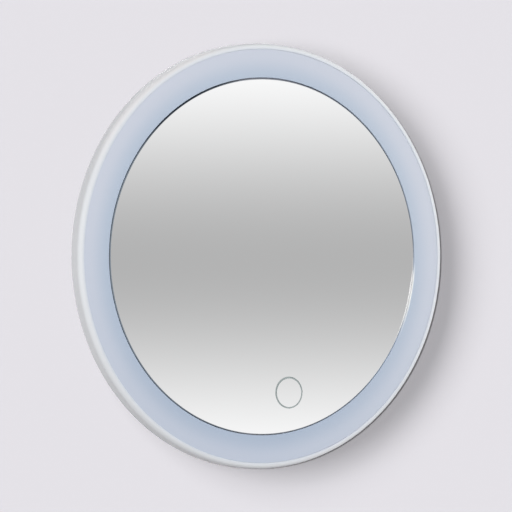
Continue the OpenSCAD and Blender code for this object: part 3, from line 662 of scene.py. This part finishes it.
# Board screws
# Four screws of zinc-plated steel with a pan head and a cross recess. They hold the board down and
# cut their own thread in the posts.
def carved(mesh, *tools):
    """Cuts closed shapes out of a mesh."""
    body = linked("body", mesh)
    for tool in tools:
        knife = body.modifiers.new("cut", "BOOLEAN")
        knife.object, knife.solver = linked("blade", tool), "EXACT"
    made = evaluated(body)
    for used in [k.object for k in body.modifiers] + [body]:
        bpy.data.objects.remove(used)
    return made


def screw(head, length, top, finish):
    """Screw that points down from z = 0: a head of a given outline, a thread and a cross recess."""
    crest, root, tip, pitch, valley, ridge = 1.1, 0.86, 0.516, 0.8, 0.3, 0.65
    bar, bar_w, recess, clear = 1.3, 0.3, 0.6, 1
    shank = []
    for k in range(int(length / pitch)):
        if (k + valley) * pitch > -head[-1][1]:
            shank += [(root, -(k + valley) * pitch), (crest, -(k + ridge) * pitch)]
    body = turned([(0, top), *head, *shank, (tip, -length), (0, -length)], finish, sides=28)
    return carved(body, *(block((-x, -y, top - recess), (x, y, top + clear), finish)
        for x, y in ((bar, bar_w), (bar_w, bar))))


zinc = mottled("zinc", (0.56, 0.57, 0.58), (0.66, 0.665, 0.67), scale=200, rough=(0.25, 0.42),
    grain=1500, Metallic=1.0)
head_r, neck_r, pan_h = 2.2, 1.1, 1.2
pan_head = rounded([(0, pan_h, 0), (head_r, pan_h, 0.6), (head_r, 0, 0.1), (neck_r, 0, 0)])[1:]
post_screw = screw(pan_head, length=5.2, top=pan_h, finish=zinc)
piece("post_screws", "board_screws", "screw_steel",
    at_places.repeated(post_screw, [(x, y, board_top) for x, y in posts]))

# Battery and lamp leads
# Four red wires: two from the tabs of the bay to their socket, and two from the other socket over
# the wall of the hub to the circuit ring. They are whole, and fixed at both ends.
wire = Pattern("wire", thickness="Float", corners="Int", step="Float")
path = wire.node("GeometryNodeMeshToCurve", None, wire["places"])
path = wire.node("GeometryNodeCurveSplineType", {"spline_type": "CATMULL_ROM"}, path)
path = wire.node("GeometryNodeResampleCurve", {"mode": "LENGTH"}, Curve=path, Length=wire["step"])
wire.tube(path, wire["thickness"], wire["corners"])

red_vinyl = mottled("red_vinyl", (0.42, 0.016, 0.014), (0.52, 0.028, 0.022), scale=200,
    rough=(0.32, 0.45), grain=900, depth=0.00002)
lead_d, lead_step, lead_stub, lead_spread, lead_out = 0.9, 0.9, 1.1, 0.8, 19.6
socket_out, lower_mouth, upper_mouth = 11.95, 18.6, 41.4
battery_socket, lamp_socket, touch_socket, ring_in = 16, 8, -16, 108.35


def lead(start, away, points, back, end, finish):
    """Wire that leaves its two ends square to them and passes through points."""
    stubs = [tuple(Vector(start) + lead_stub * Vector(away)), tuple(Vector(end)
        + lead_stub * Vector(back))]
    return wire.made(finish.material, [start, stubs[0], *points, stubs[1], end], thickness=lead_d,
        corners=12, step=lead_step)


piece("bay_leads", "battery_leads", "lead_red",
    lead((tab_end, row_up[0], lead_in), (1, 0, 0), [(36.5, -14, 12), (36.5, -6, 12), (34, 0, 12),
        (27, 4, 12), (20, 7, 12)], (0, -1, 0),
        (battery_socket + lead_spread, lower_mouth, socket_out), red_vinyl),
    lead((tab_end, row_up[3], lead_in), (1, 0, 0), [(36.4, -57, 10), (36, -48, 9), (36, -36, 9),
        (36, -24, 9), (36, -12, 9), (34, -3, 9), (26, 2, 9.5), (18, 5, 11)], (0, -1, 0),
        (battery_socket - lead_spread, lower_mouth, socket_out), red_vinyl), sharp=60)
piece("lamp_leads", "led_leads", "lead_red", *(
    lead((x, upper_mouth, socket_out), (0, 1, 0), [(x, 50, 12.5), (x, 56, 15.5), (x, 63, 18.4),
        *((x, up, lead_out) for up in (72, 84, 96))], (0, -1, 0),
        (x, sqrt(ring_in ** 2 - (lamp_socket + 2 * lead_spread) ** 2), lead_out), red_vinyl)
    for x in (lamp_socket - lead_spread, lamp_socket + lead_spread)), sharp=60)

# Circuit ring
# Narrow ring of white-lacquered board, stuck to the pan behind the opal ring, with a tinned track
# along each edge.
ring_white = mottled("ring_white", (0.80, 0.81, 0.80), (0.86, 0.865, 0.855), scale=90,
    rough=(0.3, 0.42), grain=900)
ring_low, ring_top, ring_mid, ring_half, track_in, track_out = 19, 20, 111.85, 3.5, 0.0026, 0.0030
off_middle = abs(ring_white.radius() - ring_mid / 1000)
ring_white.give("Base Color", ring_white.mix((off_middle > track_in) * (off_middle < track_out),
    ring_white.colour, (0.62, 0.66, 0.62)))
piece("lamp_ring_board", "led_board", "white_board", turned(rounded([
    (ring_mid - ring_half, ring_low, 0.1), (ring_mid - ring_half, ring_top, 0.1),
    (ring_mid + ring_half, ring_top, 0.1), (ring_mid + ring_half, ring_low, 0.1)], steps=2),
    ring_white, sides=240))

# Lamps
# Sixty white lamps soldered to the ring, not lit: a white package, a round well filled with yellow
# phosphor in silicone, and two tinned ends.
ring_of = Pattern("ring_of", shape="Object", count="Int", radius="Float", turn="Float")
spots = ring_of.node("GeometryNodeMeshCircle", None, ring_of["count"], ring_of["radius"])
facing = ring_of.node("GeometryNodeInputIndex") * tau / ring_of["count"]
shape = ring_of.node("GeometryNodeObjectInfo", None, ring_of["shape"], True).output("Geometry")
units = ring_of.node("GeometryNodeInstanceOnPoints", None, Points=spots, Instance=shape,
    Rotation=ring_of.node("ShaderNodeCombineXYZ", None, 0.0, 0.0, facing))
ring_of.end(ring_of.node("GeometryNodeTransform", None, Geometry=units,
    Rotation=ring_of.node("ShaderNodeCombineXYZ", None, 0.0, 0.0, ring_of["turn"])))

package = mottled("lamp_package", (0.82, 0.82, 0.79), (0.88, 0.88, 0.85), scale=300,
    rough=(0.35, 0.5), grain=1500)
phosphor = mottled("phosphor", (0.80, 0.66, 0.16), (0.86, 0.73, 0.24), scale=900, rough=(0.18, 0.3),
    grain=2400, depth=0.00002)
lamp_half_w, lamp_half_l, lamp_count = 1.4, 1.5, 60
lamp_lift, lamp_top = ring_top + 0.02, ring_top + 0.8
well_r, well_low, well_top = 1.15, lamp_top - 0.1, lamp_top + 0.015
foot_w, foot_at, foot_half, foot_h = 1.1, 1.55, 0.2, 0.3
lamp_parts = [block((-lamp_half_w, -lamp_half_l, lamp_lift), (lamp_half_w, lamp_half_l, lamp_top),
    package, round_off=0.08, steps=1), turned([(0, well_low), (well_r, well_low),
    (well_r - 0.05, well_top), (0, well_top)], phosphor, sides=16)]
lamp_parts += [block((-foot_w, end * foot_at - foot_half, ring_top), (foot_w, end * foot_at
    + foot_half, ring_top + foot_h), tin) for end in (-1, 1)]
piece("white_lamps", "leds", "lamp", *(ring_of.repeated(part, count=lamp_count, radius=ring_mid)
    for part in lamp_parts))

# Resistors
# Twelve chip resistors soldered to the ring, one for every five lamps: a ceramic body, glazed
# black, and tinned ends.
half_w, half_l, body_h, tip_at, tip_half, tip_over = 0.6, 0.75, 0.5, 0.8, 0.2, 0.02
resistor_count, from_lamp = 12, radians(3)
resistor_parts = [block((-half_w, -half_l, ring_top + tip_over), (half_w, half_l,
    ring_top + body_h - tip_over), ceramic, round_off=0.05, steps=1)]
resistor_parts += [block((-half_w - tip_over, end * tip_at - tip_half, ring_top), (half_w + tip_over,
    end * tip_at + tip_half, ring_top + body_h), tin, round_off=0.06, steps=1) for end in (-1, 1)]
piece("chip_resistors", "led_resistors", "chip_black", *(ring_of.repeated(part, count=resistor_count,
    radius=ring_mid, turn=from_lamp) for part in resistor_parts))

# Carrier
# White ABS plate that carries the glass. Its upstand holds the inner edge of the opal ring and keeps
# the light in, and a round window lets the touch sensor through.
piece("glass_carrier", "mirror_carrier", "shell_plastic",
    copied("mirror_carrier", shell_white, round_off=0.2))

# Carrier screws
# Five countersunk screws of zinc-plated steel, which hold the carrier to the bosses of the shell
# and lie flush with its front.
carrier_ring_r, carrier_front = 70.0, 21.8
sunk_head = [(head_r - 0.02, 0), (head_r, -0.06), (neck_r + 0.02, -1.2)]
sunk_screw = screw(sunk_head, length=8, top=0, finish=zinc)
sunk_screws = ring_of.repeated(sunk_screw, count=5, radius=carrier_ring_r, turn=pi / 2)
sunk_screws.transform(at((0, 0, carrier_front)))
piece("sunk_screws", "carrier_screws", "screw_steel", sunk_screws)


# Touch sensor
# Round green board taped to the back of the glass behind the etched ring, with its chip and its grey
# wire to the control board.
touch_x, touch_up, sensor_r, sensor_back, sensor_front = 19.03, -79.87, 10, 21.2, 22.2
touch_place = at((touch_x, touch_up, 0))


def sensor_round(back, front, finish):
    """Flat round of the sensor's size, between two heights."""
    return turned(rounded([(0, back, 0), (sensor_r, back, 0.1), (sensor_r, front, 0.1),
        (0, front, 0)], steps=2), finish, sides=72, place=touch_place)


touch_green = lacquered("touch_green")
electrode_in, electrode_out = 0.0030, 0.0078
from_sensor = touch_green.radius(touch_x / 1000, touch_up / 1000)
electrode = (from_sensor < electrode_out) * (from_sensor > electrode_in)
touch_green.give("Base Color", touch_green.mix(electrode * copper_shows, touch_green.colour,
    over_copper))
piece("sensor_board", "touch_board", "green_board",
    sensor_round(sensor_back, sensor_front, touch_green))

chip_under = at((touch_x + 4, touch_up - 2, sensor_back)) @ Matrix.Rotation(pi, 4, "X")
touch_parts = chip((3, 3, 0.8), (0, 0, 0), dot=0.25, finish=epoxy)
land_at = 1.4
for quarter in range(4):
    turn = quarter * pi / 2
    row = [tuple(Matrix.Rotation(turn, 3, "Z") @ Vector((land_at, along, 0)))
        for along in (-0.75, -0.25, 0.25, 0.75)]
    touch_parts.append(at_places.repeated(block((-0.1, -0.1, 0), (0.12, 0.1, 0.14), tin), row,
        turn=turn))
for part in touch_parts:
    part.transform(chip_under)
piece("sensor_chip", "touch_chip", "chip_black", *touch_parts)

grey_vinyl = mottled("grey_vinyl", (0.20, 0.205, 0.21), (0.26, 0.265, 0.27), scale=200,
    rough=(0.34, 0.48), grain=900, depth=0.00002)
piece("sensor_lead", "touch_lead", "lead_grey",
    lead((touch_x - 3, touch_up + 3, sensor_back), (0, 0, -1), [(touch_x - 4, touch_up + 9, lead_out),
        (14, -64, lead_out), (12, -52, 19.2), (9, -38, 19.2), (4, -24, 19.2), (-4, -12, 19.2),
        (-11, -3, 18.9), (-15, 2, 16)], (0, -1, 0),
        (touch_socket, lower_mouth, socket_out), grey_vinyl), sharp=60)

# Foam tapes
# Ring of black closed-cell foam tape that sticks the glass to its carrier and closes the gap round
# it from below, painted paler at the top and the bottom and with a painted highlight at the lower
# right. A round of pale tape does the same for the sensor.
foam = mottled("foam", (0.010, 0.013, 0.022), (0.030, 0.036, 0.055), scale=1500, rough=(0.85, 0.95),
    grain=2500, depth=0.0001)
# Painted light on the foam in the gap: paler at the top and the bottom, palest at the lower right.
top_arc = (0.75, 0.95, 1.65, 1.85)
painted_top_and_bottom = foam.between(abs(foam.turn()), *top_arc)
painted_lower_right = foam.between(foam.turn(), -0.95, -0.75, -0.35, -0.20)
foam_painted_light = foam.mix(painted_top_and_bottom, foam.colour, (0.46, 0.48, 0.55))
foam.give("Base Color", foam.mix(painted_lower_right, foam_painted_light, (0.70, 0.73, 0.79)))
tape_in, tape_r, tape_back, glass_back = 95.3, 105.3, 21.8, 22.6
piece("glass_tape", "mirror_tape", "foam_tape", turned(rounded([
    (tape_in, tape_back, 0.1), (tape_in, glass_back, 0.1), (tape_r, glass_back, 0.15),
    (tape_r, tape_back, 0.15)]), foam, sides=240))

pale_foam = mottled("pale_foam", (0.62, 0.58, 0.47), (0.70, 0.66, 0.55), scale=900, rough=(0.8, 0.95),
    grain=2500, depth=0.00005)
piece("sensor_tape", "touch_tape", "foam_tape", sensor_round(sensor_front, glass_back, pale_foam))

# Glass
# Round silvered glass, 3 mm thick, with a broad ground arris that shows slate. Painted shade makes the
# arris near-black at the upper left, painted light makes it paler at the top, the bottom and the lower
# right, and a painted glint makes it white at the right. The ring of the touch switch is etched in its
# face, a little wider at its upper left. The glass was laid a little low and to the right, and turned
# by a little over half a degree.
silvered = Finish("silvered_glass", Roughness=0.0)
laid = at((0.75, -0.36, 0)) @ Matrix.Rotation(radians(-0.59), 4, "Z")
glass_r, glass_front, arris, groove_r, groove_half, groove_z = 104.65, 25.6, 0.45, 8.9, 0.45, 25.45
middle, ring_middle = (laid @ Vector(spot) / 1000 for spot in ((0, 0, 0), (touch_x, touch_up, 0)))
from_edge = glass_r / 1000 - silvered.radius(middle.x, middle.y)
from_groove = abs(silvered.radius(ring_middle.x, ring_middle.y) - groove_r / 1000)
lean = (silvered.z - ring_middle.y) - (silvered.x - ring_middle.x)
wider, line_half, line_end, line_front = 0.007, 0.00044, 0.00054, 0.0253
etched = silvered.step(from_groove - wider * lean, line_half, line_end, 1.0, 0.0)
etched = etched * (silvered.y < -line_front)
arc = silvered.turn()
# Painted highlight: a ragged white glint on the ground arris at the right, where its edge catches the
# light.
ragged = silvered.noise(900, detail=4, roughness=0.7)
glint_least, glint_more, glint_soft = 0.0005, 0.0012, 0.0002
glint_w = glint_least + glint_more * silvered.between(arc, -0.56, -0.20, -0.16, -0.06) * ragged
painted_glint = silvered.step(from_edge - glint_w, -glint_soft, glint_soft, 1.0, 0.0)
glint_from, glint_full, glint_fade, glint_to, glint_jitter = -0.62, -0.45, 0.0, 0.06, 0.35
painted_glint = painted_glint * silvered.step(arc, glint_from, glint_full)
painted_glint = painted_glint * silvered.step(arc + glint_jitter * (ragged - 0.5), glint_fade, glint_to, 1.0, 0.0)
ground = silvered.step(from_edge, (arris - 0.05) / 1000, (arris + 0.05) / 1000, 1.0, 0.0)
back = silvered.y > -(glass_back + 0.02) / 1000
plain = etched.math("MAXIMUM", ground).math("MAXIMUM", painted_glint).math("MAXIMUM", back)
colour = silvered.mix(silvered.noise(14), (0.965, 0.968, 0.970), (0.975, 0.976, 0.978))
# Painted shade and light on the slate of the arris: near-black at the upper left, paler at the top and
# the bottom, and pale at the lower right.
painted_upper_left = silvered.between(arc, 1.70, 2.05, 2.2, 2.6)
painted_top_and_bottom = silvered.between(abs(arc), *top_arc)
painted_lower_right = silvered.between(arc, -0.90, -0.70, -0.35, -0.20)
arris_slate_and_shade = silvered.mix(painted_upper_left, (0.215, 0.250, 0.290), (0.040, 0.052, 0.075))
arris_slate_and_shade = silvered.mix(painted_top_and_bottom, arris_slate_and_shade, (0.40, 0.42, 0.47))
arris_slate_and_shade = silvered.mix(painted_lower_right, arris_slate_and_shade, (0.80, 0.84, 0.88))
for where, shade in ((ground, arris_slate_and_shade), (painted_glint, (1.0, 1.0, 1.0)), (etched, (0.34, 0.39, 0.39)),
    (back, (0.30, 0.31, 0.33))):
    colour = silvered.mix(where, colour, shade)
plain_rough = 0.45
silvered.give("Base Color", colour)
silvered.give("Metallic", 1 - plain)
silvered.give("Roughness", plain_rough * plain)

back_edge, above = 0.25, glass_front + 0.4
disc = turned([(0, glass_back), (glass_r - back_edge, glass_back), (glass_r, glass_back + back_edge),
    (glass_r, glass_front - arris), (glass_r - arris, glass_front), (0, glass_front)], silvered,
    sides=360, place=laid)
groove = turned([(groove_r - groove_half, groove_z), (groove_r - groove_half, above),
    (groove_r + groove_half, above), (groove_r + groove_half, groove_z)], silvered, sides=160,
    place=laid @ touch_place)
piece("round_glass", "mirror_glass", "mirror", carved(disc, groove), sharp=20)

# Opal ring
# The ring that the lamps shine through: a moulded opal sheet, pale blue while it is off. Its thin
# outer flange is trapped under the lip of the rim, and its opening lies a little to the right.
opal = Finish("opal_sheet")
opening = Vector((0.00055, -0.00020))
# Painted shade makes the sheet darker and bluer towards the glass and towards the bottom, and painted
# light makes it whiter towards the right.
deep_r, pale_r, near_rim = 0.1045, 0.1185, 0.12
near_glass = opal.step(opal.radius(), deep_r, pale_r, 1.0, 0.0)
low = opal.step(opal.z, -near_rim, near_rim, 1.0, 0.0)
tint = opal.mix(near_glass, (0.644, 0.687, 0.790), (0.492, 0.582, 0.710))
tint = opal.mix(low * low * (0.36 + 0.24 * near_glass), tint, (0.375, 0.46, 0.60))
tint = opal.mix(opal.step(opal.x, 0.0, near_rim, 0.0, 0.07), tint, (1.0, 1.0, 1.0))
tint = opal.mix(opal.noise(26, detail=3) * 0.12, tint, (0.70, 0.73, 0.83))
# Painted highlight: a white gleam on the lower right of the inner edge, where it catches the light.
gleam_arc, gleam_r, gleam_end = (-0.50, -0.24, -0.14, -0.02), 0.1055, 0.1061
gleam = opal.between(opal.turn(), *gleam_arc)
gleam = gleam * opal.step(opal.radius(opening.x, opening.y), gleam_r, gleam_end, 1.0, 0.0)
opal.give("Base Color", opal.mix(gleam, tint, (0.98, 1.0, 1.0)))
opal.give("Roughness", 0.38 + 0.1 * opal.noise(300))
opal.bump(opal.noise(2600), 0.00001)

opal_in, opal_r, flange_r = 105.2, 121.6, 122.85
opal_back, opal_front, flange_front = 23.7, 25.7, 24.4
sheet = turned(rounded([(opal_in, opal_back, 0.1), (opal_in, opal_front, 0.15),
    (opal_r, opal_front, 0.1), (opal_r, flange_front, 0.1), (flange_r, flange_front, 0.1),
    (flange_r, opal_back, 0.1)]), opal, sides=360)
near_opening = opal_in + 5
for spot in sheet.vertices:
    if spot.co.xy.length < near_opening:
        spot.co.xy += 1000 * opening
piece("opal_ring", "diffuser_ring", "opal", sheet)

# Rim
# White satin rim, moulded in one: side wall, rounded lip, and six bosses inside that take the screws
# of the rear shell, each with a web to the wall. Painted light makes it palest at the upper left.
rim_white = mottled("rim_white", (0.850, 0.862, 0.890), (0.870, 0.880, 0.905), scale=30,
    rough=(0.30, 0.40), grain=900, depth=0.000012)
crown, brow, shoulder_line, crest_r, outer_r = 0.0250, 0.0225, 0.0205, 0.1230, 0.1240
# Painted light and shade on the front of the lip: paler and cooler at the top, darker towards the
# bottom.
on_lip = rim_white.step(rim_white.y, -crown, -brow, 1.0, 0.0)
low = rim_white.step(rim_white.z, -0.12, 0.02, 1.0, 0.0)
tint = rim_white.mix(low, (0.905, 0.928, 0.960), (0.850, 0.868, 0.900))
tint = rim_white.mix(on_lip, rim_white.colour, tint)
# Painted light on the side wall and the outer lip at the upper left.
painted_upper_left = rim_white.between(rim_white.turn(), 1.70, 1.95, 2.45, 2.80)
painted_upper_left = painted_upper_left * rim_white.step(rim_white.radius(), crest_r, outer_r)
painted_upper_left = painted_upper_left * rim_white.step(rim_white.y, -brow, -shoulder_line, 1.0, 0.15)
tint = rim_white.mix(painted_upper_left, tint, (0.985, 0.980, 1.0))
# Painted shade: a darker, bluer band on the lip's inner edge, where it meets the opal ring.
edge_r, edge_end, edge_back = 0.1218, 0.1236, 0.0240
inner_edge = rim_white.step(rim_white.radius(), edge_r, edge_end, 1.0, 0.0)
tint = rim_white.mix(inner_edge * (rim_white.y < -edge_back), tint, (0.76, 0.80, 0.865))
rim_white.give("Base Color", tint)
rim_r, rim_in, lip_in, lip, rim_back, rim_front, lip_under = 125, 123, 121.65, 3.35, 16.8, 26, 24.4
outline = [(rim_in, rim_back), (rim_r - 0.1, rim_back), (rim_r - 0.03, rim_back + 0.03),
    (rim_r, rim_back + 0.1)]
lip_steps = 20
lip_angles = [radians(90 * k / lip_steps) for k in range(lip_steps)]
outline += [(lip_in + lip * cos(a), rim_front - lip + lip * sin(a)) for a in lip_angles]
outline += [(lip_in + 0.4, rim_front), (lip_in + 0.12, rim_front - 0.09), (lip_in, rim_front - 0.28),
    (lip_in, lip_under), (rim_in, lip_under)]
screw_ring, boss_in, boss_r, boss_low, boss_high, boss_end = 119.4, 1.15, 2.8, 19, 23.7, 22.9
boss = turned([(boss_in, boss_low), (boss_r, boss_low), (boss_r, boss_high), (0, boss_high),
    (0, boss_end), (boss_in, boss_end)], rim_white, sides=40)
web_from, web_half, into_wall = 2.4, 1.2, 0.2
web = block((web_from, -web_half, boss_low), (rim_in - screw_ring + into_wall, web_half, boss_high),
    rim_white)
piece("rim", "front_frame", "rim_plastic", turned(outline, rim_white, sides=360),
    *(ring_of.repeated(part, count=6, radius=screw_ring, turn=pi / 6) for part in (boss, web)))

# Shell screws
# Six pan-head screws of zinc-plated steel, sunk in the back of the pan, which hold the shell to
# the bosses of the rim.
seat = 18
tail_screw = screw(pan_head, length=4.2, top=pan_h, finish=zinc)
tail_screw.transform(at((0, 0, seat)) @ Matrix.Rotation(pi, 4, "X"))
piece("pan_screws", "shell_screws", "screw_steel",
    ring_of.repeated(tail_screw, count=6, radius=screw_ring, turn=pi / 6))

# Cells
# Four plain AA cells, every second one turned end for end: a steel can in a printed plastic sleeve,
# with an insulating ring round the nub.
cell_r, cell_l, nub_r, nub_l, silver_from = 7.1, 50.5, 2.75, 1.5, 0.014
tail_in, nub_in, tail_r, cap_r, seal_r, wrap = 6.2, 6.0, 5.9, 5.8, 5.7, 0.5
cell_steel = mottled("cell_steel", (0.62, 0.62, 0.61), (0.70, 0.70, 0.69), scale=150,
    rough=(0.18, 0.3), grain=900, Metallic=1.0)
seal_white = mottled("seal_white", (0.70, 0.70, 0.67), (0.78, 0.78, 0.75), scale=300,
    rough=(0.4, 0.5), grain=1500)
for row, up in enumerate(row_up):
    way = 1 if row % 2 == 0 else -1
    sleeve = mottled(f"sleeve_{row + 1}", (0.030, 0.105, 0.27), (0.040, 0.130, 0.32), scale=60,
        rough=(0.18, 0.3), grain=700, Coat_Weight=0.5)
    silver_end = sleeve.x * way > silver_from
    sleeve.give("Base Color", sleeve.mix(silver_end, sleeve.colour, (0.55, 0.57, 0.60)))
    sleeve.give("Metallic", 0.7 * silver_end)
    tip = bay_half - plate_t
    tail, shoulder = tip - cell_l, tip - nub_l
    lie = at((0, up, cell_out)) @ Matrix.Rotation(way * pi / 2, 4, "Y")
    jacket = rounded([(0, tail + 1, 0), (tail_in, tail + 1, 0), (tail_in, tail + 0.15, 0.1),
        (cell_r, tail + 0.15, wrap), (cell_r, shoulder - 0.3, wrap), (nub_in, shoulder - 0.3, 0.1),
        (nub_in, shoulder - 1, 0), (0, shoulder - 1, 0)])
    can_end = rounded([(0, tail, 0), (tail_r - 0.3, tail, 0.25), (tail_r, tail + 0.4, 0),
        (tail_r, tail + 2, 0), (0, tail + 2, 0)])
    nub = rounded([(0, shoulder - 2, 0), (cap_r, shoulder - 2, 0), (cap_r, shoulder - 0.55, 0.2),
        (nub_r + 0.7, shoulder - 0.55, 0), (nub_r, shoulder - 0.2, 0), (nub_r, tip, 0.35),
        (0, tip, 0)])
    seal = rounded([(nub_r + 0.6, shoulder - 0.9, 0), (seal_r, shoulder - 0.9, 0),
        (seal_r, shoulder - 0.3, 0.15), (nub_r + 0.6, shoulder - 0.3, 0.15)])
    piece(f"aa_cell_{row + 1}", f"battery_cell_{row + 1}", "cell_sleeve",
        turned(jacket, sleeve, sides=64, place=lie), turned(can_end, cell_steel, place=lie),
        turned(nub, cell_steel, place=lie), turned(seal, seal_white, place=lie))

# Battery door
# White ABS door of the bay with grip grooves. It swings back on two moulded pins at its upper edge
# and its tongue snaps in at the lower edge.
piece("bay_door", "battery_door", "shell_plastic",
    copied("battery_door", shell_white, round_off=0.1), body="door")
